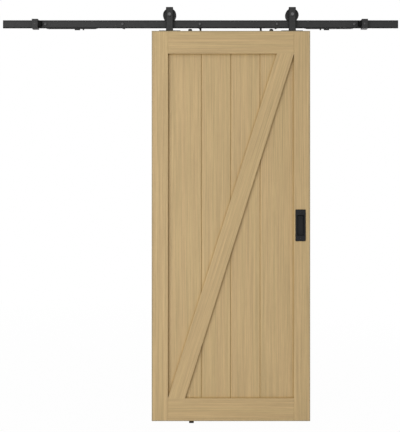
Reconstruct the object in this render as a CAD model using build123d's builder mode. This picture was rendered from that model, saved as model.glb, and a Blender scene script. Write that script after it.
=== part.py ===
from build123d import *

import os

# Sliding door that hangs from a flat bar by two grooved wheels, in millimetres.
# X runs along the bar and +Z is up. The wall is the plane Y = 0 and the room is on its -Y side,
# so an "out" value is a distance from the wall into the room, at Y = -out.
# The origin is on the wall, on the axis of the middle bar bolt.

# Door leaf, a framed panel of vertical boards
leaf_width = 800.0
leaf_height = 1970.0
leaf_back = 21.0
leaf_front = 61.0
leaf_x = 156.7
leaf_top = -38.5
stile_width = 82.0
rail_height = 115.0
board_thickness = 16.0
panel_groove = 10.0
expansion_gap = 1.0
edge_break = 2.0
joint_break = 1.0
vee_width = 3.0
board_pitch = 148.5
tongue_thickness = 5.0
tongue_length = 6.0
tongue_play = 0.4
brace_end = 86.0
guide_slot_width = 8.0
guide_slot_depth = 20.0

# Flush pull, a plate with a recessed cup, one on each face of the right stile
pull_x = 351.4
pull_z = -1020.4
pull_width = 52.0
pull_height = 160.0
pull_plate = 2.0
cup_width = 36.0
cup_height = 103.0
cup_depth = 12.0
cup_wall = 1.5
cup_draft = 12.0
cup_corner = 4.0
pocket_play = 0.5
pull_screw_pitch = 132.0
pull_screw_hole = 1.75
pull_screw_head = 3.3

# Flat bar, the bolts that hold it and the spacers behind it
bar_length = 2005.0
bar_x = 3.5
bar_height = 40.0
bar_thickness = 6.0
bar_back = 38.0
bar_edge = 0.8
bolt_pitch = 391.5
bolt_count = 5
bolt_hole = 4.5
shank_radius = 4.0
thread_radius = 3.7
thread_length = 36.0
point_length = 6.0
point_radius = 0.7
bolt_flats = 13.0
bolt_head = 5.0
spacer_radius = 11.0

# Hangers: a bent strap, a base plate on the leaf's top edge, a wheel and its axle bolt
hanger_x = 310.0
strap_width = 36.0
strap_thickness = 5.0
strap_front = 59.0
strap_top = 82.0
strap_bend = 8.0
strap_corner = 3.0
base_length = 110.0
base_back = 27.0
base_front = 51.0
base_corner = 4.0
base_screw_pitch = 84.0
axle_z = 45.0
axle_radius = 5.0
axle_hole_play = 0.2
axle_flats = 17.0
axle_head = 5.5
axle_head_chamfer = 1.0
nut_height = 6.0
nut_stub = 2.0
washer_radius = 11.0
washer_thickness = 1.5
collar_radius = 10.0
wheel_width = 22.0
wheel_flange = 33.5
wheel_tread_gap = 0.3
wheel_groove = 8.0
groove_flare = 1.0
wheel_hub = 12.0
dish_inner = 13.0
dish_outer = 26.0
dish_rim = 27.0
dish_depth = 2.5
rim_bevel = 1.5
running_play = 0.05
side_play = 0.3

# Pieces on the leaf's top edge
anti_jump_x = 206.0
anti_jump_radius = 10.0
anti_jump_height = 13.5
anti_jump_bevel = 2.5
trigger_x = 153.5
trigger_width = 10.0
trigger_thickness = 4.0
trigger_back = 26.0
trigger_foot_front = 54.0
trigger_foot = 3.0
trigger_top = -16.0

# Stops and bumpers on the bar
stop_x = 833.5
stop_width = 30.0
stop_height = 48.0
stop_drop = 1.4
stop_corner = 1.5
stop_back = 33.0
stop_front = 60.0
bumper_length = 18.0
bumper_height = 28.0
bumper_depth = 13.0
bumper_corner = 4.0
bumper_nose = 2.5

# Soft-close dampers behind the bar, each with its own inner end and resting catch
damper_outer = 770.0
left_damper_inner = 508.0
right_damper_inner = 520.0
damper_slope = 28.0
damper_back = 14.0
damper_top = 6.0
damper_rear_bottom = -16.0
damper_front_bottom = -9.0
damper_wall = 3.0
damper_front_wall = 2.0
damper_cap = 4.0
cylinder_radius = 5.0
cylinder_length = 100.0
cylinder_out = 28.0
cylinder_z = -3.0
rod_radius = 2.0
left_catch_x = 616.0
right_catch_x = 637.0
catch_length = 48.0
catch_back = 17.0
catch_front = 34.0
catch_height = 10.0
lug_thickness = 4.0
long_lug = 27.0
short_lug = 7.0
lug_bottom = -22.5

# Floor guide under the leaf
floor_z = -2018.0
guide_x = -42.7
guide_plate_width = 24.0
guide_plate_depth = 40.0
guide_plate_thickness = 4.0
fin_width = 22.0
fin_thickness = 5.0
fin_gap = 5.0
guide_screw_pitch = 26.0
guide_corner = 3.0

# Screw holes shared by the plates
screw_hole = 2.25
screw_head = 4.5

# Sizes that follow from the ones above
leaf_bottom = leaf_top - leaf_height
leaf_mid = (leaf_back + leaf_front) / 2
leaf_thickness = leaf_front - leaf_back
opening_width = leaf_width - 2 * stile_width
opening_top = leaf_top - rail_height
opening_bottom = leaf_bottom + rail_height
recess_depth = (leaf_thickness - board_thickness) / 2
bar_front = bar_back + bar_thickness
bar_mid = bar_back + bar_thickness / 2
wheel_back = bar_mid - wheel_width / 2
wheel_front = bar_mid + wheel_width / 2
strap_back = strap_front - strap_thickness

os.makedirs("parts", exist_ok=True)


# Leaf frame: two full-height stiles, grooved on their inner edges
for side, hand in (("left", -1), ("right", 1)):
    outer_x = leaf_x + hand * leaf_width / 2
    inner_x = outer_x - hand * stile_width
    stile_x = (outer_x + inner_x) / 2
    with BuildPart() as stile:
        with BuildSketch(Plane.XY.offset(leaf_bottom)):
            with Locations((stile_x, -leaf_mid)):
                Rectangle(stile_width, leaf_thickness)
            with Locations((inner_x + hand * panel_groove / 2, -leaf_mid)):
                Rectangle(panel_groove, board_thickness, mode=Mode.SUBTRACT)
        extrude(amount=leaf_height)
        upright = stile.edges().filter_by(Axis.Z).group_by(Axis.X)[0 if hand < 0 else -1]
        across = stile.edges().filter_by(Axis.X)
        chamfer(upright + across.group_by(Axis.Y)[0] + across.group_by(Axis.Y)[-1], edge_break)
        with BuildSketch(Plane.XY.offset(leaf_bottom)):
            with Locations((stile_x, -leaf_mid)):
                Rectangle(stile_width, guide_slot_width)
        extrude(amount=guide_slot_depth, mode=Mode.SUBTRACT)
        if side == "right":
            pocket_depth = cup_depth + cup_wall - pull_plate + pocket_play
            with BuildSketch(Plane.XZ.offset(leaf_front)):
                with Locations((leaf_x + pull_x, pull_z)):
                    RectangleRounded(cup_width + 2 * (cup_wall + pocket_play),
                                     cup_height + 2 * (cup_wall + pocket_play), cup_corner + cup_wall)
            extrude(amount=-pocket_depth, mode=Mode.SUBTRACT)
            with BuildSketch(Plane.XZ.offset(leaf_back)):
                with Locations((leaf_x + pull_x, pull_z)):
                    RectangleRounded(cup_width + 2 * (cup_wall + pocket_play),
                                     cup_height + 2 * (cup_wall + pocket_play), cup_corner + cup_wall)
            extrude(amount=pocket_depth, mode=Mode.SUBTRACT)
    stile.part.label = f"{side}_stile"
    export_step(stile.part, f"parts/{side}_stile.step")

# Rails: between the stiles, with tenons in their grooves and a groove for the boards
for place, rail_mid, inward in (("top", leaf_top - rail_height / 2, -1),
                                ("bottom", leaf_bottom + rail_height / 2, 1)):
    with BuildPart() as rail:
        with BuildSketch(Plane.YZ.offset(leaf_x - opening_width / 2)):
            with Locations((-leaf_mid, rail_mid)):
                Rectangle(leaf_thickness, rail_height)
        extrude(amount=opening_width)
        chamfer(rail.edges().filter_by(Axis.Z), joint_break)
        outer_edges = rail.edges().filter_by(Axis.X).group_by(Axis.Z)[-1 if inward < 0 else 0]
        chamfer(outer_edges, edge_break)
        with BuildSketch(Plane.YZ.offset(leaf_x - opening_width / 2 - panel_groove)):
            with Locations((-leaf_mid, rail_mid)):
                Rectangle(board_thickness, rail_height)
        extrude(amount=opening_width + 2 * panel_groove)
        with BuildSketch(Plane.YZ.offset(leaf_x - leaf_width / 2)):
            with Locations((-leaf_mid, rail_mid + inward * (rail_height - panel_groove) / 2)):
                Rectangle(board_thickness, panel_groove)
        extrude(amount=leaf_width, mode=Mode.SUBTRACT)
        if place == "bottom":
            with BuildSketch(Plane.YZ.offset(leaf_x - leaf_width / 2)):
                with Locations((-leaf_mid, leaf_bottom + guide_slot_depth / 2)):
                    Rectangle(guide_slot_width, guide_slot_depth)
            extrude(amount=leaf_width, mode=Mode.SUBTRACT)
    rail.part.label = f"{place}_rail"
    export_step(rail.part, f"parts/{place}_rail.step")

# Boards: tongued and grooved, vee-jointed on both faces, loose in the frame's groove
panel_reach = panel_groove - expansion_gap
joints_x = [leaf_x + step * board_pitch for step in (-1, 0, 1)]
panel_left = leaf_x - opening_width / 2 - panel_reach
panel_right = leaf_x + opening_width / 2 + panel_reach
board_edges = [panel_left] + joints_x + [panel_right]
for number in range(1, 5):
    board_left = board_edges[number - 1]
    board_right = board_edges[number]
    with BuildPart() as board:
        with BuildSketch(Plane.XY.offset(opening_bottom - panel_reach)) as outline:
            with Locations(((board_left + board_right) / 2, -leaf_mid)):
                Rectangle(board_right - board_left, board_thickness)
            if number > 1:
                chamfer(outline.vertices().group_by(Axis.X)[0], vee_width)
                with Locations((board_left + (tongue_length + expansion_gap) / 2, -leaf_mid)):
                    Rectangle(tongue_length + expansion_gap, tongue_thickness + tongue_play,
                              mode=Mode.SUBTRACT)
            if number < 4:
                chamfer(outline.vertices().group_by(Axis.X)[-1], vee_width)
                with Locations((board_right + tongue_length / 2, -leaf_mid)):
                    Rectangle(tongue_length, tongue_thickness)
        extrude(amount=opening_top - opening_bottom + 2 * panel_reach)
    board.part.label = f"board_{number}"
    export_step(board.part, f"parts/board_{number}.step")

# Braces: from the lower left to the upper right corner, flush with the frame on each face
opening_left = leaf_x - opening_width / 2
opening_right = leaf_x + opening_width / 2
for name, brace_out in (("front_brace", leaf_front - recess_depth), ("back_brace", leaf_back)):
    with BuildPart() as brace:
        with BuildSketch(Plane.XZ.offset(brace_out)):
            with BuildLine():
                Polyline((opening_left, opening_bottom), (opening_left + brace_end, opening_bottom),
                         (opening_right, opening_top), (opening_right - brace_end, opening_top),
                         close=True)
            make_face()
        extrude(amount=recess_depth)
    brace.part.label = name
    export_step(brace.part, f"parts/{name}.step")

# Flush pull: screwed plate with a drafted cup let into the stile, and its twin on the back
with BuildPart() as front_pull:
    with BuildSketch(Plane.XZ.offset(leaf_front)):
        with Locations((leaf_x + pull_x, pull_z)):
            RectangleRounded(pull_width, pull_height, cup_corner)
    extrude(amount=pull_plate)
    chamfer(front_pull.faces().sort_by(Axis.Y)[0].edges(), pull_plate / 3)
    with BuildSketch(Plane.XZ.offset(leaf_front)):
        with Locations((leaf_x + pull_x, pull_z)):
            RectangleRounded(cup_width + 2 * cup_wall, cup_height + 2 * cup_wall, cup_corner + cup_wall)
    extrude(amount=-(cup_depth + cup_wall - pull_plate), taper=cup_draft)
    with BuildSketch(Plane.XZ.offset(leaf_front + pull_plate)):
        with Locations((leaf_x + pull_x, pull_z)):
            RectangleRounded(cup_width, cup_height, cup_corner)
    extrude(amount=-cup_depth, taper=cup_draft, mode=Mode.SUBTRACT)
    screw_spots = [Plane(origin=(leaf_x + pull_x, -(leaf_front + pull_plate), pull_z + step),
                         x_dir=(1, 0, 0), z_dir=(0, -1, 0))
                   for step in (-pull_screw_pitch / 2, pull_screw_pitch / 2)]
    with Locations(*screw_spots):
        CounterSinkHole(pull_screw_hole, pull_screw_head)
front_pull.part.label = "front_flush_pull"
export_step(front_pull.part, "parts/front_flush_pull.step")

with BuildPart() as back_pull:
    mirror(front_pull.part, about=Plane.XZ.offset(leaf_mid))
back_pull.part.label = "back_flush_pull"
export_step(back_pull.part, "parts/back_flush_pull.step")

# Flat bar with one hole for each bolt
with BuildPart() as bar:
    with BuildSketch(Plane.XZ.offset(bar_back)):
        with Locations((bar_x, 0)):
            Rectangle(bar_length, bar_height)
        with GridLocations(bolt_pitch, 1, bolt_count, 1):
            Circle(bolt_hole, mode=Mode.SUBTRACT)
    extrude(amount=bar_thickness)
    chamfer(bar.edges().filter_by(Axis.X), bar_edge)
bar.part.label = "track"
export_step(bar.part, "parts/track.step")

# Spacers and lag bolts along the bar
for number in range(1, bolt_count + 1):
    bolt_x = (number - (bolt_count + 1) / 2) * bolt_pitch
    with BuildPart() as spacer:
        with BuildSketch(Plane.XZ):
            with Locations((bolt_x, 0)):
                Circle(spacer_radius)
                Circle(bolt_hole, mode=Mode.SUBTRACT)
        extrude(amount=bar_back)
    spacer.part.label = f"wall_spacer_{number}"
    export_step(spacer.part, f"parts/wall_spacer_{number}.step")

    with BuildPart() as bolt:
        with BuildSketch(Plane.XZ.offset(bar_front)):
            with Locations((bolt_x, 0)):
                RegularPolygon(bolt_flats / 2, 6, major_radius=False)
        extrude(amount=bolt_head)
        chamfer(bolt.faces().sort_by(Axis.Y)[0].edges(), bolt_head / 6)
        with BuildSketch(Plane.XZ):
            with Locations((bolt_x, 0)):
                Circle(shank_radius)
        extrude(amount=bar_front)
        with BuildSketch(Plane.XZ):
            with Locations((bolt_x, 0)):
                Circle(thread_radius)
        extrude(amount=-thread_length)
        chamfer(bolt.faces().sort_by(Axis.Y)[-1].edges(), length=point_length,
                length2=thread_radius - point_radius)
    bolt.part.label = f"track_bolt_{number}"
    export_step(bolt.part, f"parts/track_bolt_{number}.step")

# Stops clamped round the bar, each with a rubber bumper facing the hangers
with BuildPart() as left_stop:
    with BuildSketch(Plane.YZ.offset(-stop_x - stop_width / 2)):
        with Locations((-(stop_back + stop_front) / 2, -stop_drop)):
            RectangleRounded(stop_front - stop_back, stop_height, stop_corner)
        with Locations((-bar_mid, 0)):
            Rectangle(bar_thickness, bar_height, mode=Mode.SUBTRACT)
    extrude(amount=stop_width)
left_stop.part.label = "left_stop"
export_step(left_stop.part, "parts/left_stop.step")

with BuildPart() as right_stop:
    mirror(left_stop.part, about=Plane.YZ)
right_stop.part.label = "right_stop"
export_step(right_stop.part, "parts/right_stop.step")

with BuildPart() as left_bumper:
    with BuildSketch(Plane.YZ.offset(-stop_x + stop_width / 2)):
        with Locations((-(stop_front + bar_front) / 2, 0)):
            RectangleRounded(bumper_depth, bumper_height, bumper_corner)
    extrude(amount=bumper_length)
    chamfer(left_bumper.faces().sort_by(Axis.X)[-1].edges(), bumper_nose)
left_bumper.part.label = "left_bumper"
export_step(left_bumper.part, "parts/left_bumper.step")

with BuildPart() as right_bumper:
    mirror(left_bumper.part, about=Plane.YZ)
right_bumper.part.label = "right_bumper"
export_step(right_bumper.part, "parts/right_bumper.step")

# Hangers on the leaf, with their axle bolts
for side, hand in (("left", -1), ("right", 1)):
    strap_x = leaf_x + hand * hanger_x
    with BuildPart() as hanger:
        with BuildSketch(Plane.YZ.offset(strap_x - strap_width / 2)):
            with BuildLine():
                Polyline((-strap_front, leaf_top), (-strap_front, strap_top), (-strap_back, strap_top),
                         (-strap_back, leaf_top + strap_thickness),
                         (-base_back, leaf_top + strap_thickness), (-base_back, leaf_top), close=True)
            make_face()
        extrude(amount=strap_width)
        along = hanger.edges().filter_by(Axis.X)
        fillet(along.group_by(Axis.Z)[0].sort_by(Axis.Y)[0], strap_bend)
        plate_top = leaf_top + strap_thickness
        along = hanger.edges().filter_by(Axis.X)
        inner_bend = along.filter_by_position(Axis.Z, plate_top - 1, plate_top + 1).sort_by(Axis.Y)[0]
        fillet(inner_bend, strap_bend - strap_thickness)
        fillet(hanger.edges().filter_by(Axis.Y).group_by(Axis.Z)[-1], strap_corner)
        plate_mid = (base_back + base_front) / 2
        with BuildSketch(Plane.XY.offset(leaf_top)):
            with Locations((strap_x, -plate_mid)):
                RectangleRounded(base_length, base_front - base_back, base_corner)
        extrude(amount=strap_thickness)
        with BuildSketch(Plane.XZ.offset(strap_front)):
            with Locations((strap_x, axle_z)):
                Circle(axle_radius + axle_hole_play)
        extrude(amount=-strap_thickness, mode=Mode.SUBTRACT)
        with Locations((strap_x - base_screw_pitch / 2, -plate_mid, plate_top),
                       (strap_x + base_screw_pitch / 2, -plate_mid, plate_top)):
            CounterSinkHole(screw_hole, screw_head)
    hanger.part.label = f"{side}_hanger"
    export_step(hanger.part, f"parts/{side}_hanger.step")

    with BuildPart() as axle:
        with BuildSketch(Plane.XZ.offset(strap_front)):
            with Locations((strap_x, axle_z)):
                Circle(washer_radius)
        extrude(amount=washer_thickness)
        with BuildSketch(Plane.XZ.offset(strap_front + washer_thickness)):
            with Locations((strap_x, axle_z)):
                RegularPolygon(axle_flats / 2, 6, major_radius=False, rotation=30)
        extrude(amount=axle_head)
        chamfer(axle.faces().sort_by(Axis.Y)[0].edges(), axle_head_chamfer)
        nut_front = wheel_back - side_play
        axle_end = nut_front - nut_height - nut_stub
        with BuildSketch(Plane.XZ.offset(axle_end)):
            with Locations((strap_x, axle_z)):
                Circle(axle_radius)
        extrude(amount=strap_front - axle_end)
        with BuildSketch(Plane.XZ.offset(nut_front)):
            with Locations((strap_x, axle_z)):
                RegularPolygon(axle_flats / 2, 6, major_radius=False, rotation=30)
        extrude(amount=-nut_height)
        with BuildSketch(Plane.XZ.offset(wheel_front + side_play)):
            with Locations((strap_x, axle_z)):
                Circle(collar_radius)
        extrude(amount=strap_back - wheel_front - side_play)
    axle.part.label = f"{side}_axle_bolt"
    export_step(axle.part, f"parts/{side}_axle_bolt.step")

    # Grooved wheel: flanges either side of the bar, dished faces and a plain hub
    wheel_plane = Plane(origin=(strap_x, -bar_mid, axle_z), x_dir=(0, 1, 0), z_dir=(1, 0, 0))
    tread = axle_z - bar_height / 2 - wheel_tread_gap
    bore = axle_radius + running_play
    face = wheel_width / 2
    dish = face - dish_depth
    with BuildPart() as wheel:
        with BuildSketch(wheel_plane):
            with BuildLine():
                Polyline((0, bore), (face, bore), (face, wheel_hub), (dish, dish_inner),
                         (dish, dish_outer), (face, dish_rim), (face, wheel_flange - rim_bevel),
                         (face - rim_bevel, wheel_flange), (wheel_groove / 2 + groove_flare, wheel_flange),
                         (wheel_groove / 2, tread), (0, tread))
                mirror(about=Plane.YZ)
            make_face()
        revolve(axis=Axis((strap_x, 0, axle_z), (0, 1, 0)))
    wheel.part.label = f"{side}_wheel"
    export_step(wheel.part, f"parts/{side}_wheel.step")

    # Anti-jump block under the bar
    with BuildPart() as block:
        with BuildSketch(Plane.XY.offset(leaf_top)):
            with Locations((leaf_x + hand * anti_jump_x, -bar_mid)):
                Circle(anti_jump_radius)
        extrude(amount=anti_jump_height)
        chamfer(block.edges().group_by(Axis.Z)[-1], anti_jump_bevel)
    block.part.label = f"{side}_anti_jump"
    export_step(block.part, f"parts/{side}_anti_jump.step")

    # Trigger: an upright tab behind the bar that trips the damper's catch
    with BuildPart() as trigger:
        with BuildSketch(Plane.YZ.offset(leaf_x + hand * trigger_x - trigger_width / 2)):
            with BuildLine():
                Polyline((-trigger_foot_front, leaf_top), (-trigger_back, leaf_top),
                         (-trigger_back, trigger_top), (-trigger_back - trigger_thickness, trigger_top),
                         (-trigger_back - trigger_thickness, leaf_top + trigger_foot),
                         (-trigger_foot_front, leaf_top + trigger_foot), close=True)
            make_face()
        extrude(amount=trigger_width)
    trigger.part.label = f"{side}_trigger"
    export_step(trigger.part, f"parts/{side}_trigger.step")

# Dampers behind the bar
for side, hand, inner_end, catch_x in (("left", -1, left_damper_inner, left_catch_x),
                                       ("right", 1, right_damper_inner, right_catch_x)):
    low_x = min(hand * damper_outer, hand * inner_end)
    length = damper_outer - inner_end

    # Housing: a channel open below, capped at each end, whose rear wall slopes up to its inner end
    with BuildPart() as housing:
        with BuildSketch(Plane.YZ.offset(low_x)):
            with BuildLine():
                Polyline((-bar_back, damper_front_bottom), (-bar_back, damper_top),
                         (-damper_back, damper_top), (-damper_back, damper_rear_bottom),
                         (-damper_back - damper_wall, damper_rear_bottom),
                         (-damper_back - damper_wall, damper_top - damper_wall),
                         (-bar_back + damper_front_wall, damper_top - damper_wall),
                         (-bar_back + damper_front_wall, damper_front_bottom), close=True)
            make_face()
        extrude(amount=length)
        for cap_x in (low_x, low_x + length - damper_cap):
            with BuildSketch(Plane.YZ.offset(cap_x)):
                with Locations((-(damper_back + bar_back) / 2, (damper_top + damper_front_bottom) / 2)):
                    Rectangle(bar_back - damper_back, damper_top - damper_front_bottom)
            extrude(amount=damper_cap)
        with BuildSketch(Plane.XZ.offset(damper_back)):
            with BuildLine():
                Polyline((hand * (inner_end + damper_slope), damper_rear_bottom),
                         (hand * inner_end, damper_rear_bottom),
                         (hand * inner_end, damper_front_bottom), close=True)
            make_face()
        extrude(amount=damper_wall, mode=Mode.SUBTRACT)
    housing.part.label = f"{side}_damper_housing"
    export_step(housing.part, f"parts/{side}_damper_housing.step")

    # Cylinder against the outer cap, with its rod out to the catch
    rod_length = damper_outer - damper_cap - cylinder_length - catch_x - catch_length / 2
    with BuildPart() as cylinder:
        with BuildSketch(Plane.YZ.offset(hand * (damper_outer - damper_cap))):
            with Locations((-cylinder_out, cylinder_z)):
                Circle(cylinder_radius)
        extrude(amount=-hand * cylinder_length)
        with BuildSketch(Plane.YZ.offset(hand * (damper_outer - damper_cap - cylinder_length))):
            with Locations((-cylinder_out, cylinder_z)):
                Circle(rod_radius)
        extrude(amount=-hand * rod_length)
    cylinder.part.label = f"{side}_damper_cylinder"
    export_step(cylinder.part, f"parts/{side}_damper_cylinder.step")

    # Catch: a carriage in the channel with a long and a short lug below it
    outer_lug = catch_x + catch_length / 2
    inner_lug = catch_x - catch_length / 2 + short_lug
    with BuildPart() as catch:
        with BuildSketch(Plane.YZ.offset(hand * outer_lug)):
            with Locations((-(catch_back + catch_front) / 2, cylinder_z)):
                Rectangle(catch_front - catch_back, catch_height)
        extrude(amount=-hand * catch_length)
        for lug_x, lug_length in ((outer_lug, long_lug), (inner_lug, short_lug)):
            with BuildSketch(Plane.YZ.offset(hand * lug_x)):
                with Locations((-catch_back - lug_thickness / 2, (lug_bottom + cylinder_z) / 2)):
                    Rectangle(lug_thickness, cylinder_z - lug_bottom)
            extrude(amount=-hand * lug_length)
    catch.part.label = f"{side}_damper_catch"
    export_step(catch.part, f"parts/{side}_damper_catch.step")

# Floor guide: a screwed plate with a fin that runs in the leaf's slot
with BuildPart() as guide:
    with BuildSketch(Plane.XY.offset(floor_z)):
        with Locations((guide_x, -leaf_mid)):
            RectangleRounded(guide_plate_width, guide_plate_depth, guide_corner)
    extrude(amount=guide_plate_thickness)
    with BuildSketch(Plane.XY.offset(floor_z)):
        with Locations((guide_x, -leaf_mid)):
            Rectangle(fin_width, fin_thickness)
    extrude(amount=leaf_bottom + guide_slot_depth - fin_gap - floor_z)
    guide_top = floor_z + guide_plate_thickness
    with Locations((guide_x, -leaf_mid - guide_screw_pitch / 2, guide_top),
                   (guide_x, -leaf_mid + guide_screw_pitch / 2, guide_top)):
        CounterSinkHole(screw_hole, screw_head)
guide.part.label = "floor_guide"
export_step(guide.part, "parts/floor_guide.step")
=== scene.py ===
import math

import bpy
import numpy as np
from mathutils import Matrix, Vector


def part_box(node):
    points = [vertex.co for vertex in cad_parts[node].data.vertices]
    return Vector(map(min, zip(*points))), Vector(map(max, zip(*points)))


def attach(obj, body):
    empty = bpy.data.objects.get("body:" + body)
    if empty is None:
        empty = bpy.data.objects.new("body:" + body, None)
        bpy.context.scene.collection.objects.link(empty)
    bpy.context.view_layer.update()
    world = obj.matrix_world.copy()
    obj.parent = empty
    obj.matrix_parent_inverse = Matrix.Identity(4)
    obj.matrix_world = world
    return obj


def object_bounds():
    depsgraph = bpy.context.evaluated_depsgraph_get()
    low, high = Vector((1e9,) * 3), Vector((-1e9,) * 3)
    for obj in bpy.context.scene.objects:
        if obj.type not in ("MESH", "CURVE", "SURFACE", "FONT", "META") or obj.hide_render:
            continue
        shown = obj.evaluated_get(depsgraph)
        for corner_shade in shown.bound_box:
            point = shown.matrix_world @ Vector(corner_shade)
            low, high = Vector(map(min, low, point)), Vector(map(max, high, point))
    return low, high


bl_info = {
    "name": "Sliding Door Finishes",
    "version": (1, 0, 0),
    "blender": (4, 5, 0),
    "location": "3D Viewport > Sidebar > Sliding Door",
    "description": "Gives the sliding door its oak, black coats, rubber and small fasteners",
    "category": "Object",
}

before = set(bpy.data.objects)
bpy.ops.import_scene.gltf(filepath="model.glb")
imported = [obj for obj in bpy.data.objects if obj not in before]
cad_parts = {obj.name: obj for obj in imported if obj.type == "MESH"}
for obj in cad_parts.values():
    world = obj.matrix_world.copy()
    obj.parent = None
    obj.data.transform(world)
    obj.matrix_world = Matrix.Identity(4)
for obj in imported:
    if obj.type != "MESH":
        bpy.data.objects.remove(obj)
CAD_LOW, CAD_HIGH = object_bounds()
MM = 0.001
WHITE = (1.0, 1.0, 1.0, 1.0)
BOLT_NUMBERS = range(1, 6)     # the bar's bolts and spacers, from the left

# Sizes taken over from the solids
STRAP_WIDTH = 36.0 * MM        # width of a hanger's strap
BRACE_END = 86.0 * MM          # width of a brace's cut end, along its rail
PLATE_SCREW_STEP = 42.0 * MM   # from a hanger's middle to its plate screws
PLATE_MIDDLE = 39.0 * MM       # from the wall to the middle of a hanger's plate
PLATE_TOP = 4.9 * MM           # a little under the upper face of a hanger's plate
TRIGGER_SCREW = 8.0 * MM       # from the front of a trigger's foot to its screw
TRIGGER_FOOT = 3.0 * MM        # thickness of a trigger's foot
PULL_SCREW_STEP = 66.0 * MM    # from a flush pull's middle to its screws
PULL_SCREW_SINK = 0.1 * MM     # depth of those screws under the pull's face
GUIDE_SCREW_STEP = 13.0 * MM   # from the floor guide's middle to its screws
GUIDE_TOP = 3.9 * MM           # a little under the upper face of the guide's plate
DAMPER_SCREW_Z = -5.0 * MM     # height of the screws behind the dampers
THREAD_START = 2.0 * MM        # from the wall's face to the lag thread
THREAD_SPARE = 9.0 * MM        # how much shorter the thread is than the lag's reach into the wall
THREAD_CORE = 3.2 * MM         # radius of the lag thread's core

# Small forms of the screws
HEAD_STEPS = 36                # points round a screw head
HEAD_RINGS = 12                # rings of points on its top
HEAD_INNER = 0.08              # radius of the innermost ring, against the head's
HEAD_RIM = 0.2 * MM            # height of the rim
SHANK = 1.0 * MM               # length of shank under the head
CROSS_BAR = 0.28               # half the width of a cross recess's bars, against its reach
CROSS_FADE = 0.35              # share of a bar over which it slopes up to the head
SOCKET_FADE = 0.12             # the same for a hexagon socket
THREAD_STEPS = 24              # points round the lag thread
ROWS_PER_TURN = 8              # rows of points in one turn of it
RIDGE_HALF = 0.30              # half the width of its ridge, in pitches
CROWN_SHARE = 0.43             # radius of a bolt's dome against its width across flats

# Where an edge counts as an edge: the range of a number over which it changes from no to yes
TURNED = (0.80, 0.985)         # cosine between the true normal and the rounded one
LEANING = (0.50, 0.65)         # how squarely a face looks to the front, past a side's
SQUARE = (0.78, 0.93)          # how squarely a face looks to the front, past a chamfer's
OUTLINE_FULL = 0.4             # share of an outline's band, from the outside, that is full

# Grain and coats
CUT_SHIFT = (3.7, 1.3, 5.1)    # from one piece's cut of the grain to the next
GRAIN_RISE = 0.6               # how far the light streaks rise for each fall of the dark ones
INNER_WIDTH = 0.5              # width of the band of painted edge shade on boards and braces, against the leaf's
INNER_SHARE = 0.1              # how strongly that band shows
PATCHES = 40.0                 # soft patches to a metre in a black coat
RUB_WIDTH = 1.2 * MM           # width of the rubbed line on the edges of a black coat
RUB_GAIN = 3.0                 # how many times brighter the rubbed spots are
RUB_LIFT = 0.03                # and what is added to that
POWDER_ROUGHNESS = 0.55        # of the powder coat
MARKS = (2600.0, 60.0, 60.0)   # turning marks to a metre, along and across a damper

# Stage, in metres
KEY_SIZE = (4.0, 1.6)          # width and height of the lamp on the left
BACK_SIZE = (2.2, 1.6)         # of the lamp behind
TOP_SIZE = (1.2, 1.2)          # of the lamp above
LAMP_AIM = (0.15, -0.05, -1.0)  # the point that the lamps face
FLOOR_HALF = 60.0              # from the middle of the floor to its sides
FLOOR_DROP = 0.0005            # from the guide's foot down to the floor


def colour(name, description, default):
    """A colour that a user can change, held as linear red, green and blue."""
    return bpy.props.FloatVectorProperty(name=name, description=description, subtype="COLOR",
                                         size=3, min=0.0, max=1.0, default=default)


def length(name, description, default):
    """A length that a user can change, in metres."""
    return bpy.props.FloatProperty(name=name, description=description, subtype="DISTANCE",
                                   unit="LENGTH", min=0.0, default=default)


def place(name, description, default):
    """A point that a user can move, in metres."""
    return bpy.props.FloatVectorProperty(name=name, description=description, subtype="XYZ",
                                         unit="LENGTH", size=3, default=default)


def factor(name, description, default, high=1.0):
    """A plain number that a user can change, from 0 up."""
    return bpy.props.FloatProperty(name=name, description=description, min=0.0, max=high,
                                   default=default)


class OakSettings(bpy.types.PropertyGroup):
    """Colours and grain of the lacquered oak."""
    rosy: colour("Rosy streak", "Warmer colour of the grain", (0.529, 0.376, 0.190))
    straw: colour("Straw streak", "Yellower colour of the grain", (0.517, 0.376, 0.187))
    # Painted shade: the arris tint greys and darkens a band painted along the leaf's edges, in
    # place of their shade.
    arris: colour("Arris tint", "Tint of the handled edges against the faces", (0.70, 0.77, 0.90))
    end_tone: factor("End grain", "Brightness of sawn ends against the faces", 0.72)
    band_width: length("Band width", "Width of the broad colour bands", 0.020)
    streak_width: length("Streak width", "Width of the light and dark streaks", 0.006)
    fibre_width: length("Fibre width", "Width of the finest fibres", 0.0011)
    streak_depth: factor("Streak depth", "How much the streaks change the brightness", 0.18)
    fibre_depth: factor("Fibre depth", "How much the fibres change the brightness", 0.08)
    # Painted shade: how far the band of painted edge shade reaches onto the oak's faces.
    edge_shade_width: length("Arris width", "How far the handled edges reach onto the faces", 0.007)
    # Painted shade: the reach and tint of the warm darkening painted into the inner corners, found
    # by an occlusion test.
    corner_reach: length("Corner reach", "How far dirt and shade gather from a corner", 0.010)
    corner_shade: colour("Corner tint", "Tint of the inner corners against the faces", (0.80, 0.75, 0.55))
    roughness: factor("Roughness", "Roughness of the matt lacquer", 0.58)


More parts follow.
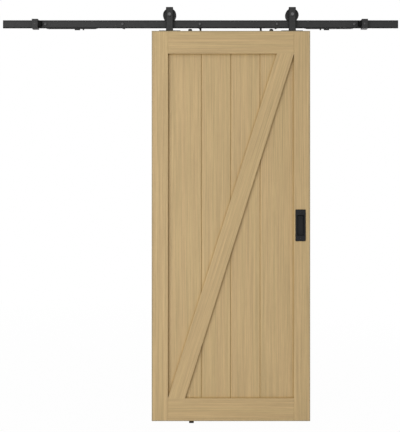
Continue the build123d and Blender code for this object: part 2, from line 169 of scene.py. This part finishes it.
class CoatSettings(bpy.types.PropertyGroup):
    """Colours of the black metal, plastic and rubber."""
    powder: colour("Powder coat", "Colour of the bar, hangers and stops", (0.036, 0.036, 0.036))
    bolt: colour("Bolt black", "Colour of the bolts and screws", (0.075, 0.075, 0.077))
    # Painted highlight: the axle bolts' black is lighter than the other bolts', in place of the
    # highlight on their heads.
    axle: colour("Axle black", "Colour of the axle bolts, rubbed by the spanner",
                 (0.115, 0.115, 0.117))
    pull: colour("Pull black", "Colour of the flush pulls", (0.013, 0.013, 0.0145))
    nylon: colour("Nylon", "Colour of the wheels and plastic parts", (0.030, 0.030, 0.030))
    rubber: colour("Rubber", "Colour of the bumpers", (0.008, 0.008, 0.008))
    steel: colour("Damper steel", "Colour of the damper cylinders", (0.45, 0.45, 0.46))
    gloss: factor("Gloss", "Specular level of the black finishes", 0.18)
    peel_size: length("Peel size", "Size of the powder coat's orange peel", 0.0012)
    # Painted shade: the width and brightness of the darker band painted along the edges of the
    # black coats.
    edge_shade_width: length("Arris width", "How far the darker edges reach onto the faces", 0.0050)
    edge_shade_tone: factor("Arris tone", "Brightness of the darker edges against the faces", 0.22)
    wear: factor("Edge wear", "How much brighter the rubbed spots on edges are", 0.12)


class ScrewSettings(bpy.types.PropertyGroup):
    """Sizes of the small fasteners."""
    plate_head: length("Plate screw head", "Head radius of the countersunk plate screws", 4.3 * MM)
    pull_head: length("Pull screw head", "Head radius of the flush pull's screws", 3.1 * MM)
    pan_head: length("Pan head", "Head radius of the small pan-head screws", 3.5 * MM)
    pan_rise: length("Pan rise", "Height of the small pan-head screws", 1.8 * MM)
    grub_head: length("Clamp screw", "Head radius of the stop's clamp screw", 5.0 * MM)
    crown_rise: length("Crown rise", "Height of the dome on the hexagon heads", 1.6 * MM)
    thread_pitch: length("Thread pitch", "Pitch of the lag thread", 3.0 * MM)
    thread_rise: length("Thread rise", "Height of the lag thread above its core", 0.8 * MM)


class StageSettings(bpy.types.PropertyGroup):
    """Camera, lamps and floor."""
    lens: bpy.props.FloatProperty(name="Lens", description="Focal length", unit="CAMERA",
                                  default=50.0)
    eye: place("Eye", "Camera position", (0.0006, -3.088, -0.9732))
    sky: factor("Sky", "Strength of the plain ambient light", 0.67, high=4.0)
    key: factor("Key", "Power of the soft lamp on the left, in watts", 134.0, high=2000.0)
    key_spot: place("Key place", "Where the lamp on the left stands", (-3.0, -4.0, -1.1))
    back: factor("Back", "Power of the soft lamp behind, in watts", 90.0, high=2000.0)
    back_spot: place("Back place", "Where the lamp behind stands", (2.6, 4.2, -0.6))
    top: factor("Top", "Power of the soft lamp above, in watts", 16.0, high=2000.0)
    top_spot: place("Top place", "Where the lamp above hangs", (-2.0, -2.5, 3.2))
    floor: factor("Floor", "Grey level of the floor", 0.55)
    floor_veil: factor("Floor veil", "How much of the floor shows as plain white", 0.978)
    floor_fade: length("Floor fade", "Distance over which the floor fades to white", 3.0)


# Shader helpers


class Board:
    """A material or world being wired: it adds nodes, sets their inputs and links them."""

    def __init__(self, owner):
        owner.use_nodes = True
        self.owner = owner
        self.tree = owner.node_tree
        self.tree.nodes.clear()
        kind = "World" if isinstance(owner, bpy.types.World) else "Material"
        self.output = self.tree.nodes.new("ShaderNodeOutput" + kind)

    def add(self, kind, inputs=None, **settings):
        """Adds a node, sets its own settings, then sets or links its inputs."""
        node = self.tree.nodes.new(kind)
        for key, value in settings.items():
            setattr(node, key, value)
        for key, value in (inputs or {}).items():
            self.feed(node.inputs[key], value)
        return node

    def feed(self, socket, value):
        """Links a socket when the value is one, and otherwise sets its constant."""
        if isinstance(value, bpy.types.NodeSocket):
            self.tree.links.new(value, socket)
        else:
            socket.default_value = value

    def math(self, operation, a, b=0.0, clamp=False):
        """One sum on numbers."""
        node = self.add("ShaderNodeMath", {0: a, 1: b}, operation=operation, use_clamp=clamp)
        return node.outputs[0]

    def span(self, value, low, high, to_low, to_high):
        """Maps a range of numbers onto another, held at its ends."""
        node = self.add("ShaderNodeMapRange", {"Value": value, "From Min": low, "From Max": high,
                                               "To Min": to_low, "To Max": to_high})
        return node.outputs["Result"]

    def blend(self, amount, a, b):
        """Mixes two colours by an amount."""
        node = self.add("ShaderNodeMix", data_type="RGBA", clamp_factor=True)
        self.feed(node.inputs[0], amount)
        self.feed(node.inputs[6], a)
        self.feed(node.inputs[7], b)
        return node.outputs[2]

    def scaled(self, vector, factors):
        """A vector times three factors."""
        node = self.add("ShaderNodeVectorMath", {0: vector, 1: factors}, operation="MULTIPLY")
        return node.outputs[0]

    def noise(self, vector, detail=2.0, roughness=0.5):
        """Smooth noise from 0 to 1 at one cell to a unit."""
        node = self.add("ShaderNodeTexNoise", {"Vector": vector, "Scale": 1.0, "Detail": detail,
                                               "Roughness": roughness})
        return node.outputs[0]

    def spread(self, noise, low, high):
        """Maps the usual range of a noise onto two numbers."""
        return self.span(noise, 0.3, 0.7, low, high)

    def normal(self):
        """The true normal of the surface."""
        return self.add("ShaderNodeNewGeometry").outputs["Normal"]

    def squareness(self):
        """How squarely a face looks to the front or back, from 0 to 1."""
        parts = self.add("ShaderNodeSeparateXYZ", {0: self.normal()})
        return self.math("ABSOLUTE", parts.outputs["Y"])

    def seen(self):
        """1 for the rays that look straight, in a mirror or through glass, and 0 for the rest."""
        path = self.add("ShaderNodeLightPath").outputs
        both = self.math("ADD", path["Is Camera Ray"], path["Is Glossy Ray"])
        return self.math("ADD", both, path["Is Transmission Ray"], clamp=True)

    def arris(self, width):
        """How near an outer edge a point lies: 1 on the edge and its chamfer, 0 a width away.

        The true normal is compared with one rounded over the width. A chamfer, where the two agree,
        is known by a normal that leans halfway to the front or back.
        """
        rounded = self.add("ShaderNodeBevel", {"Radius": width}, samples=6).outputs["Normal"]
        same = self.add("ShaderNodeVectorMath", {0: rounded, 1: self.normal()},
                        operation="DOT_PRODUCT")
        band = self.span(same.outputs["Value"], *TURNED, 1.0, 0.0)
        lean = self.squareness()
        chamfer = self.math("MULTIPLY", self.span(lean, *LEANING, 0.0, 1.0),
                            self.span(lean, *SQUARE, 1.0, 0.0))
        return self.math("MAXIMUM", band, chamfer)

    def outline(self, place_on, low, high, width):
        """How near the front outline of a plate a point lies, on Object coordinates in X and Z.

        The distance inside the nearer side is turned to 1 at the outline and 0 a width in.
        """
        parts = self.add("ShaderNodeSeparateXYZ", {0: place_on}).outputs
        out = []
        for axis, first, last in (("X", low.x, high.x), ("Z", low.z, high.z)):
            off = self.math("ABSOLUTE", self.math("SUBTRACT", parts[axis], (first + last) / 2))
            half = (last - first) / 2
            out.append(self.span(off, half - width, half - width * OUTLINE_FULL, 0.0, 1.0))
        return self.math("MAXIMUM", out[0], out[1])

    def finish(self, shader):
        """Links the shader to the output and returns the material or world."""
        self.tree.links.new(shader, self.output.inputs["Surface"])
        return self.owner


def rgba(rgb):
    """A colour with full alpha."""
    return (rgb[0], rgb[1], rgb[2], 1.0)


def oak(name, lean, seed, rim=None):
    """Lacquered oak whose grain runs up a piece, turned by lean about Y.

    Two noises stretched along the grain give broad colour bands and narrower streaks, a third gives
    fibres, and the faces that look along the grain are darker end grain. A greyer, darker band of
    painted shade follows the edges. On a stile or rail, rim is the leaf's two corners, and that
    band of painted shade follows the leaf's outline.
    """
    settings = bpy.context.scene.oak_settings
    board = Board(bpy.data.materials.new(name))
    place_on = board.add("ShaderNodeTexCoord").outputs["Object"]
    cut = tuple(seed * shift for shift in CUT_SHIFT)
    turned = board.add("ShaderNodeMapping", {"Vector": place_on, "Rotation": (0.0, lean, 0.0),
                                             "Location": cut})
    grain = turned.outputs["Vector"]

    def along(width, stretch):
        """Grain coordinates whose cells are one width across and stretch widths long."""
        across = 1.0 / width
        return board.scaled(grain, (across, across, across / stretch))

    def depth(noise, amount):
        """Brightness that falls by an amount in a noise's dark and rises by less in its light."""
        return board.spread(noise, 1.0 - amount, 1.0 + amount * GRAIN_RISE)

    bands = board.noise(along(settings.band_width, stretch=45.0))
    streaks = board.noise(along(settings.streak_width, stretch=70.0), detail=3.0, roughness=0.6)
    fibres = board.noise(along(settings.fibre_width, stretch=45.0))
    hue = board.span(bands, 0.38, 0.62, 0.0, 1.0)
    base = board.blend(hue, rgba(settings.straw), rgba(settings.rosy))
    level = board.math("MULTIPLY", depth(streaks, settings.streak_depth),
                       depth(fibres, settings.fibre_depth))

    # Sawn ends, where the face looks along the grain
    run = (-math.sin(lean), 0.0, math.cos(lean))
    facing = board.add("ShaderNodeVectorMath", {0: board.normal(), 1: run},
                       operation="DOT_PRODUCT")
    sawn = board.span(board.math("ABSOLUTE", facing.outputs["Value"]), 0.9, 0.99, 0.0, 1.0)
    level = board.math("MULTIPLY", level, board.span(sawn, 0.0, 1.0, 1.0, settings.end_tone))

    # Painted warm shade in the inner corners, found by an occlusion test
    reach = board.add("ShaderNodeAmbientOcclusion", {"Distance": settings.corner_reach}, samples=8)
    corner_shade = board.span(reach.outputs["AO"], 0.40, 0.95, 1.0, 0.0)
    shaded = board.scaled(base, board.blend(corner_shade, WHITE, rgba(settings.corner_shade)))

    # Painted shade along the edges, a little greyer and darker than the faces
    if rim:
        front = board.span(board.squareness(), *LEANING, 0.0, 1.0)
        wear_and_shade = board.math("MULTIPLY", board.outline(place_on, *rim, settings.edge_shade_width), front)
    else:
        band = board.arris(settings.edge_shade_width * INNER_WIDTH)
        wear_and_shade = board.math("MULTIPLY", band, INNER_SHARE)
    shade_painted = board.blend(wear_and_shade, WHITE, rgba(settings.arris))
    painted = board.add("ShaderNodeVectorMath", {0: board.scaled(shaded, shade_painted)},
                        operation="SCALE")
    board.feed(painted.inputs["Scale"], level)

    bump = board.add("ShaderNodeBump", {"Height": fibres, "Strength": 0.12, "Distance": 0.0006})
    rough = board.spread(streaks, settings.roughness + 0.05, settings.roughness - 0.04)
    shader = board.add("ShaderNodeBsdfPrincipled", {"Base Color": painted.outputs[0],
                                                    "Roughness": rough,
                                                    "Normal": bump.outputs["Normal"],
                                                    "Specular IOR Level": 0.35})
    return board.finish(shader.outputs[0])


def black(name, base, roughness, peel=1.0, reach=1.0, gloss=1.0, plate=None):
    """A black finish with a fine peel in the bump and a slow change of roughness.

    A darker band of painted shade follows every outer edge, and the edge itself is rubbed lighter
    in places. On a thin plate, given by its two corners, the band of painted shade follows its
    outline.
    """
    settings = bpy.context.scene.coat_settings
    board = Board(bpy.data.materials.new(name))
    place_on = board.add("ShaderNodeTexCoord").outputs["Object"]
    fine = 1.0 / settings.peel_size
    grit = board.noise(board.scaled(place_on, (fine, fine, fine)))
    patches = board.scaled(place_on, (PATCHES, PATCHES, PATCHES))
    cloud = board.noise(patches, detail=4.0, roughness=0.6)
    if plate:
        band = board.outline(place_on, *plate, settings.edge_shade_width * reach)
    else:
        band = board.arris(settings.edge_shade_width * reach)
    spots = board.span(cloud, 0.45, 0.60, 0.0, settings.wear)
    rubbed = board.math("MULTIPLY", board.arris(RUB_WIDTH), spots)
    # Painted shade: the darker colour of the band along the edges.
    dark = tuple(channel * settings.edge_shade_tone for channel in base)
    wear_and_shade = tuple(min(1.0, channel * RUB_GAIN + RUB_LIFT) for channel in base)
    mottled = board.spread(cloud, 0.90, 1.10)
    face = board.add("ShaderNodeVectorMath", {0: tuple(base)}, operation="SCALE")
    board.feed(face.inputs["Scale"], mottled)
    paint = board.blend(band, face.outputs[0], rgba(dark))
    paint = board.blend(rubbed, paint, rgba(wear_and_shade))
    rough = board.spread(cloud, roughness - 0.05, roughness + 0.06)
    bump = board.add("ShaderNodeBump", {"Height": grit, "Strength": 0.10 * peel,
                                        "Distance": 0.0003})
    shader = board.add("ShaderNodeBsdfPrincipled", {"Base Color": paint, "Roughness": rough,
                                                    "Specular IOR Level": settings.gloss * gloss,
                                                    "Normal": bump.outputs["Normal"]})
    return board.finish(shader.outputs[0])


def brushed(name, base):
    """Bright steel, with turning marks round the damper's axis."""
    board = Board(bpy.data.materials.new(name))
    place_on = board.add("ShaderNodeTexCoord").outputs["Object"]
    marks = board.noise(board.scaled(place_on, MARKS))
    rough = board.spread(marks, 0.26, 0.40)
    bump = board.add("ShaderNodeBump", {"Height": marks, "Strength": 0.08, "Distance": 0.0002})
    shader = board.add("ShaderNodeBsdfPrincipled", {"Base Color": rgba(base), "Roughness": rough,
                                                    "Metallic": 1.0,
                                                    "Normal": bump.outputs["Normal"]})
    return board.finish(shader.outputs[0])


# Mesh helpers


def paint_nodes(material, *names):
    """Gives a material to CAD nodes, in their own material slots."""
    for name in names:
        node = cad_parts[name]
        if not node.material_slots:
            node.data.materials.append(material)
        for slot in node.material_slots:
            slot.material = material


def turned_frame(axis):
    """Two unit vectors across an axis, which make a right-handed set with it."""
    axis = np.array(axis, float)
    side = np.cross(axis, (0.0, 1.0, 0.0) if abs(axis[1]) < 0.9 else (1.0, 0.0, 0.0))
    side /= np.linalg.norm(side)
    return side, np.cross(axis, side), axis


def closed_rings(name, rings, start, end, material, body):
    """A closed surface through a stack of rings, with one vertex closing each end.

    rings is an array (ring, step round, 3); the faces are quads between rings and fans at the ends.
    """
    count, steps = rings.shape[:2]
    points = np.concatenate([rings.reshape(-1, 3), [start], [end]])
    step = np.arange(steps)
    following = (step + 1) % steps
    low = np.arange(count - 1)[:, None] * steps
    high = low + steps
    quads = np.stack([low + step, low + following, high + following, high + step], axis=-1)
    first = count * steps
    last_ring = (count - 1) * steps
    fan_start = np.stack([np.full(steps, first), following, step], axis=1)
    fan_end = np.stack([np.full(steps, first + 1), last_ring + step, last_ring + following], axis=1)
    mesh = bpy.data.meshes.new(name)
    mesh.from_pydata(points.tolist(), [], quads.reshape(-1, 4).tolist() + fan_start.tolist()
                     + fan_end.tolist())
    mesh.update()
    piece = bpy.data.objects.new(name, mesh)
    bpy.context.scene.collection.objects.link(piece)
    mesh.materials.append(material)
    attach(piece, body)


def cross_recess(x, y, reach, depth):
    """Depth of a cross recess at a point of the head.

    It is full on two crossed bars, and fades over their sides and towards their ends.
    """
    half = reach * CROSS_BAR
    off = np.minimum(np.abs(x), np.abs(y))
    inside = np.clip((half - off) / (half * CROSS_FADE), 0.0, 1.0)
    fade = np.clip((reach - np.hypot(x, y)) / (reach * CROSS_FADE), 0.0, 1.0)
    return depth * inside * fade


def hex_recess(x, y, reach, depth):
    """Depth of a six-sided socket at a point of the head: full inside the hexagon, none outside."""
    angle = np.arctan2(y, x)
    flat = np.cos(np.mod(angle, math.pi / 3) - math.pi / 6) * np.hypot(x, y)
    return depth * np.clip((reach - flat) / (reach * SOCKET_FADE), 0.0, 1.0)


def screw(name, centre, axis, head, shoulder, depth, rise, recess, material, body, slot):
    """A screw head whose centre lies on its surface plane.

    The top is a shallow dome of the given rise, cut by its recess; below, the outline runs from the
    head's radius to the shoulder's over the depth, and a flat bottom closes it.
    """
    side, up, out = turned_frame(axis)
    angles = np.linspace(0.0, 2.0 * math.pi, HEAD_STEPS, endpoint=False)
    radii = head * np.linspace(HEAD_INNER, 1.0, HEAD_RINGS)
    grid_radius, grid_angle = np.meshgrid(radii, angles, indexing="ij")
    x = grid_radius * np.cos(grid_angle)
    y = grid_radius * np.sin(grid_angle)
    height = rise * (1.0 - (grid_radius / head) ** 2) - recess(x, y)
    lower_radius = np.array([head, shoulder, shoulder])
    lower_height = np.array([-HEAD_RIM, -depth, -depth - SHANK])
    lower_grid, lower_angle = np.meshgrid(lower_radius, angles, indexing="ij")
    x = np.concatenate([x, lower_grid * np.cos(lower_angle)])
    y = np.concatenate([y, lower_grid * np.sin(lower_angle)])
    height = np.concatenate([height, np.repeat(lower_height[:, None], HEAD_STEPS, axis=1)])
    middle = np.array(centre, float)
    rings = middle + x[..., None] * side + y[..., None] * up + height[..., None] * out
    top = middle + (rise - float(recess(np.array(0.0), np.array(0.0)))) * out
    bottom = middle + lower_height[-1] * out
    closed_rings(name, rings[::-1], bottom, top, material, body)


def thread(name, start, length_along, core, material, body):
    """A lag thread on a stud that points along +Y from start.

    The radius is the core's plus a ridge that peaks once a turn: the ridge's phase is the distance
    along the stud in pitches less the angle in turns, and it fades at both ends.
    """
    settings = bpy.context.scene.screw_settings
    rows = int(length_along / settings.thread_pitch * ROWS_PER_TURN) + 1
    turn = np.linspace(0.0, 2.0 * math.pi, THREAD_STEPS, endpoint=False)
    along, angle = np.meshgrid(np.linspace(0.0, length_along, rows), turn, indexing="ij")
    phase = np.mod(along / settings.thread_pitch - angle / (2.0 * math.pi), 1.0)
    ridge = np.clip(1.0 - np.abs(phase - 0.5) / RIDGE_HALF, 0.0, 1.0)
    fade = np.clip(np.minimum(along, length_along - along) / settings.thread_pitch, 0.0, 1.0)
    radius = core + settings.thread_rise * ridge * fade
    rings = np.stack([start[0] + radius * np.cos(angle), start[1] + along,
                      start[2] + radius * np.sin(angle)], axis=-1)
    first = np.array(start, float)
    last = first + np.array((0.0, length_along, 0.0))
    closed_rings(name, rings[:, ::-1], first, last, material, body)


def plate_recess(x, y):
    """The cross recess of the plate screws."""
    return cross_recess(x, y, reach=2.9 * MM, depth=1.6 * MM)


def small_recess(x, y):
    """The cross recess of the small screws."""
    return cross_recess(x, y, reach=2.2 * MM, depth=1.2 * MM)


def no_recess(x, y):
    """No recess: the head is a plain dome."""
    return np.zeros_like(x)


def socket_recess(x, y):
    """The hexagon socket of the clamp screws."""
    return hex_recess(x, y, reach=2.0 * MM, depth=1.4 * MM)


def fasten(name, spot, axis, kind, body, finish="bolt_black"):
    """Adds a screw of a kind, with its head and shoulder radius, depth, rise and recess."""
    sizes = bpy.context.scene.screw_settings
    kinds = {
        "plate": (sizes.plate_head, 2.1 * MM, 2.5 * MM, 0.0, plate_recess),
        "pull": (sizes.pull_head, 1.6 * MM, 1.6 * MM, 0.0, small_recess),
        "pan": (sizes.pan_head, sizes.pan_head, 0.3 * MM, sizes.pan_rise, small_recess),
        "block": (3.2 * MM, 3.2 * MM, 0.3 * MM, 0.8 * MM, small_recess),
        "clamp": (sizes.grub_head, sizes.grub_head, 0.3 * MM, 2.0 * MM, socket_recess),
    }
    screw(name, spot, axis, *kinds[kind], bpy.data.materials[finish], body, "bolt_black")


def crown(name, low, high, body):
    """A low dome on the flat front of a hexagon head that fills a node's box."""
    sizes = bpy.context.scene.screw_settings
    spot = ((low.x + high.x) / 2, low.y, (low.z + high.z) / 2)
    radius = (high.z - low.z) * CROWN_SHARE
    screw(name, spot, (0, -1, 0), radius, radius, 0.3 * MM, sizes.crown_rise, no_recess,
          bpy.data.materials["bolt_black"], body, "bolt_black")


# Operators


class DressLeaf(bpy.types.Operator):
    """Gives every board, stile, rail and brace its own cut of lacquered oak"""
    bl_idname = "sliding_door.dress_leaf"
    bl_label = "Oak leaf"

    def execute(self, context):
        low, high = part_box("front_brace")
        slant = math.atan2(high.x - low.x - BRACE_END, high.z - low.z)
        rim = (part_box("left_stile")[0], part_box("right_stile")[1])
        uprights = ("left_stile", "board_1", "board_2", "board_3", "board_4", "right_stile")
        for seed, name in enumerate(uprights):
            paint_nodes(oak("oak_" + name, 0.0, seed + 1.0, rim if "stile" in name else None), name)
        for seed, name in enumerate(("top_rail", "bottom_rail")):
            paint_nodes(oak("oak_" + name, math.pi / 2, seed + 11.0, rim), name)
        for seed, name in enumerate(("front_brace", "back_brace")):
            paint_nodes(oak("oak_" + name, -slant, seed + 21.0), name)
        return {"FINISHED"}


class DressMetal(bpy.types.Operator):
    """Gives the bar, hangers, stops, bolts and pulls their black coats"""
    bl_idname = "sliding_door.dress_metal"
    bl_label = "Black metal"

    def execute(self, context):
        coats = context.scene.coat_settings
        powder = black("powder_coat", coats.powder, POWDER_ROUGHNESS)
        # The bar's coat carries the band of painted shade along its top and bottom outline.
        bar = black("bar_coat", coats.powder, POWDER_ROUGHNESS, reach=1.5, plate=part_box("track"))
        bolt = black("bolt_black", coats.bolt, 0.36, peel=0.4, reach=0.25, gloss=2.5)
        # Painted highlight: a lighter black on the axle bolts stands in for the highlight on their
        # heads.
        axle = black("axle_painted_highlight", coats.axle, 0.33, peel=0.4, reach=0.9, gloss=2.5)
        pull = black("pull_black", coats.pull, 0.48, peel=0.6, reach=0.9)
        paint_nodes(bar, "track")
        for side in ("left", "right"):
            low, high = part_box(f"{side}_hanger")
            middle = (low.x + high.x) / 2
            strap = (Vector((middle - STRAP_WIDTH / 2, 0.0, low.z)),
                     Vector((middle + STRAP_WIDTH / 2, 0.0, high.z)))
            coat = black(f"{side}_strap_coat", coats.powder, POWDER_ROUGHNESS, reach=0.9,
                         plate=strap)
            paint_nodes(coat, f"{side}_hanger")
        paint_nodes(powder, "left_stop", "right_stop", "left_trigger", "right_trigger",
                    *[f"wall_spacer_{n}" for n in BOLT_NUMBERS])
        paint_nodes(axle, "left_axle_bolt", "right_axle_bolt")
        paint_nodes(bolt, *[f"track_bolt_{n}" for n in BOLT_NUMBERS])
        paint_nodes(pull, "front_flush_pull", "back_flush_pull")
        paint_nodes(brushed("damper_steel", coats.steel), "left_damper_cylinder",
                    "right_damper_cylinder")
        return {"FINISHED"}


class DressPlastic(bpy.types.Operator):
    """Gives the wheels, blocks, housings and bumpers their plastic and rubber"""
    bl_idname = "sliding_door.dress_plastic"
    bl_label = "Plastic and rubber"

    def execute(self, context):
        coats = context.scene.coat_settings
        nylon = black("black_nylon", coats.nylon, 0.50, peel=0.3, reach=0.4)
        rubber = black("rubber", coats.rubber, 0.80, peel=0.8, reach=0.6, gloss=0.3)
        for side in ("left", "right"):
            paint_nodes(nylon, f"{side}_wheel", f"{side}_anti_jump", f"{side}_damper_housing",
                        f"{side}_damper_catch")
            paint_nodes(rubber, f"{side}_bumper")
        paint_nodes(nylon, "floor_guide")
        return {"FINISHED"}


class LeafScrews(bpy.types.Operator):
    """Adds the screws of the hanger plates, triggers, anti-jump blocks and flush pulls"""
    bl_idname = "sliding_door.leaf_screws"
    bl_label = "Leaf screws"

    def execute(self, context):
        for side in ("left", "right"):
            low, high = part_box(f"{side}_hanger")
            middle = (low.x + high.x) / 2
            for end, step in (("near", -1), ("far", 1)):
                spot = (middle + step * PLATE_SCREW_STEP, -PLATE_MIDDLE, low.z + PLATE_TOP)
                fasten(f"{side}_hanger_screw_{end}", spot, (0, 0, 1), "plate", "door_leaf")
            low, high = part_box(f"{side}_trigger")
            spot = ((low.x + high.x) / 2, low.y + TRIGGER_SCREW, low.z + TRIGGER_FOOT)
            fasten(f"{side}_trigger_screw", spot, (0, 0, 1), "pan", "door_leaf")
            low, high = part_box(f"{side}_anti_jump")
            spot = ((low.x + high.x) / 2, (low.y + high.y) / 2, high.z)
            fasten(f"{side}_anti_jump_screw", spot, (0, 0, 1), "block", "door_leaf")
        for face, out in (("front", -1), ("back", 1)):
            low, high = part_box(f"{face}_flush_pull")
            surface = low.y if out < 0 else high.y
            for end, step in (("low", -1), ("high", 1)):
                spot = ((low.x + high.x) / 2, surface - out * PULL_SCREW_SINK,
                        (low.z + high.z) / 2 + step * PULL_SCREW_STEP)
                fasten(f"{face}_pull_screw_{end}", spot, (0, out, 0), "pull", "door_leaf",
                       finish="pull_black")
        return {"FINISHED"}


class FixedScrews(bpy.types.Operator):
    """Adds the screws of the stops, dampers and floor guide, and the lag threads"""
    bl_idname = "sliding_door.fixed_screws"
    bl_label = "Fixed screws"

    def execute(self, context):
        for side in ("left", "right"):
            low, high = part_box(f"{side}_stop")
            spot = ((low.x + high.x) / 2, low.y, (low.z + high.z) / 2)
            fasten(f"{side}_stop_screw", spot, (0, -1, 0), "clamp", "wall_fixed")
            low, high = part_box(f"{side}_damper_housing")
            for end, share in (("inner", 0.12), ("outer", 0.88)):
                spot = (low.x + share * (high.x - low.x), high.y, DAMPER_SCREW_Z)
                fasten(f"{side}_damper_screw_{end}", spot, (0, 1, 0), "pan", "wall_fixed")
        low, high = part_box("floor_guide")
        for end, step in (("front", -1), ("back", 1)):
            spot = ((low.x + high.x) / 2, (low.y + high.y) / 2 + step * GUIDE_SCREW_STEP,
                    low.z + GUIDE_TOP)
            fasten(f"floor_guide_screw_{end}", spot, (0, 0, 1), "plate", "wall_fixed")
        for number in BOLT_NUMBERS:
            low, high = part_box(f"track_bolt_{number}")
            crown(f"bolt_crown_{number}", low, high, "wall_fixed")
            middle = ((low.x + high.x) / 2, THREAD_START, (low.z + high.z) / 2)
            thread(f"lag_thread_{number}", middle, high.y - THREAD_SPARE, THREAD_CORE,
                   bpy.data.materials["bolt_black"], "wall_fixed")
        return {"FINISHED"}


class Stage(bpy.types.Operator):
    """Sets the floor, the plain light and the camera"""
    bl_idname = "sliding_door.stage"
    bl_label = "Stage"

    def execute(self, context):
        scene = context.scene
        settings = scene.stage_settings
        scene.view_settings.view_transform = "Standard"

        # Plain pale floor that fades to the white behind it and keeps the door's shadow
        half = FLOOR_HALF
        level = CAD_LOW.z - FLOOR_DROP
        mesh = bpy.data.meshes.new("floor")
        mesh.from_pydata([(-half, -half, level), (half, -half, level), (half, half, level),
                          (-half, half, level)], [], [(0, 1, 2, 3)])
        floor = bpy.data.objects.new("floor", mesh)
        scene.collection.objects.link(floor)
        board = Board(bpy.data.materials.new("floor_white"))
        grey = settings.floor
        plain = board.add("ShaderNodeBsdfDiffuse", {"Color": (grey, grey, grey, 1.0)})
        white = board.add("ShaderNodeEmission", {"Color": WHITE, "Strength": 1.0})
        place_on = board.add("ShaderNodeTexCoord").outputs["Object"]
        away = board.add("ShaderNodeVectorMath", {0: place_on}, operation="LENGTH").outputs["Value"]
        near = -CAD_LOW.z
        whiteness = board.span(away, near, near + settings.floor_fade, settings.floor_veil, 1.0)
        veil = board.math("MULTIPLY", board.seen(), whiteness)
        mixed = board.add("ShaderNodeMixShader", {0: veil, 1: plain.outputs[0],
                                                  2: white.outputs[0]})
        mesh.materials.append(board.finish(mixed.outputs[0]))

        # White world to the eye and in reflections, and a plain level of light elsewhere
        scene.world = bpy.data.worlds.new("plain_sky")
        sky = Board(scene.world)
        strength = sky.span(sky.seen(), 0.0, 1.0, settings.sky, 1.0)
        backdrop = sky.add("ShaderNodeBackground", {"Color": WHITE, "Strength": strength})
        sky.finish(backdrop.outputs[0])

        # A wide soft lamp on the left, one behind for the back face and a smaller one above
        self.lamp("key_lamp", settings.key, KEY_SIZE, settings.key_spot)
        self.lamp("back_lamp", settings.back, BACK_SIZE, settings.back_spot)
        self.lamp("top_lamp", settings.top, TOP_SIZE, settings.top_spot)

        camera_data = bpy.data.cameras.new("camera")
        camera_data.lens = settings.lens
        camera_data.sensor_width = 36.0
        camera = bpy.data.objects.new("camera", camera_data)
        scene.collection.objects.link(camera)
        eye = np.array(settings.eye)
        self.point(camera, eye, eye + np.array((0.0, 1.0, 0.0)))
        scene.camera = camera
        return {"FINISHED"}

    def lamp(self, name, watts, size, spot):
        """Adds a rectangular soft lamp that faces the door."""
        data = bpy.data.lights.new(name, "AREA")
        data.shape = "RECTANGLE"
        data.size, data.size_y = size
        data.energy = watts
        lamp = bpy.data.objects.new(name, data)
        bpy.context.scene.collection.objects.link(lamp)
        self.point(lamp, np.array(spot), np.array(LAMP_AIM))

    @staticmethod
    def point(thing, spot, target):
        """Puts a lamp or camera at a spot, looking at a target with +Z up."""
        forward = (target - spot) / np.linalg.norm(target - spot)
        right = np.cross(forward, (0.0, 0.0, 1.0))
        right /= np.linalg.norm(right)
        up = np.cross(right, forward)
        rows = np.eye(4)
        rows[:3, 0] = right
        rows[:3, 1] = up
        rows[:3, 2] = -forward
        rows[:3, 3] = spot
        thing.matrix_world = Matrix(rows.tolist())


STEPS = (DressLeaf, DressMetal, DressPlastic, LeafScrews, FixedScrews, Stage)
GROUPS = (("oak_settings", OakSettings), ("coat_settings", CoatSettings),
          ("screw_settings", ScrewSettings), ("stage_settings", StageSettings))


class DoorPanel(bpy.types.Panel):
    """Lists the door's steps and their settings"""
    bl_idname = "VIEW3D_PT_sliding_door"
    bl_label = "Sliding Door"
    bl_space_type = "VIEW_3D"
    bl_region_type = "UI"
    bl_category = "Sliding Door"

    def draw(self, context):
        for step in STEPS:
            self.layout.operator(step.bl_idname)
        for name, group in GROUPS:
            box = self.layout.box()
            for prop in group.__annotations__:
                box.prop(getattr(context.scene, name), prop)


def register():
    """Registers the settings, the steps and the panel."""
    for name, group in GROUPS:
        bpy.utils.register_class(group)
        setattr(bpy.types.Scene, name, bpy.props.PointerProperty(type=group))
    for step in STEPS + (DoorPanel,):
        bpy.utils.register_class(step)


def unregister():
    """Takes them all out again."""
    for step in reversed(STEPS + (DoorPanel,)):
        bpy.utils.unregister_class(step)
    for name, group in reversed(GROUPS):
        delattr(bpy.types.Scene, name)
        bpy.utils.unregister_class(group)


def main():
    """Dresses the door in order."""
    register()
    for step in STEPS:
        family, action = step.bl_idname.split(".")
        getattr(getattr(bpy.ops, family), action)()


if __name__ == "__main__":
    main()
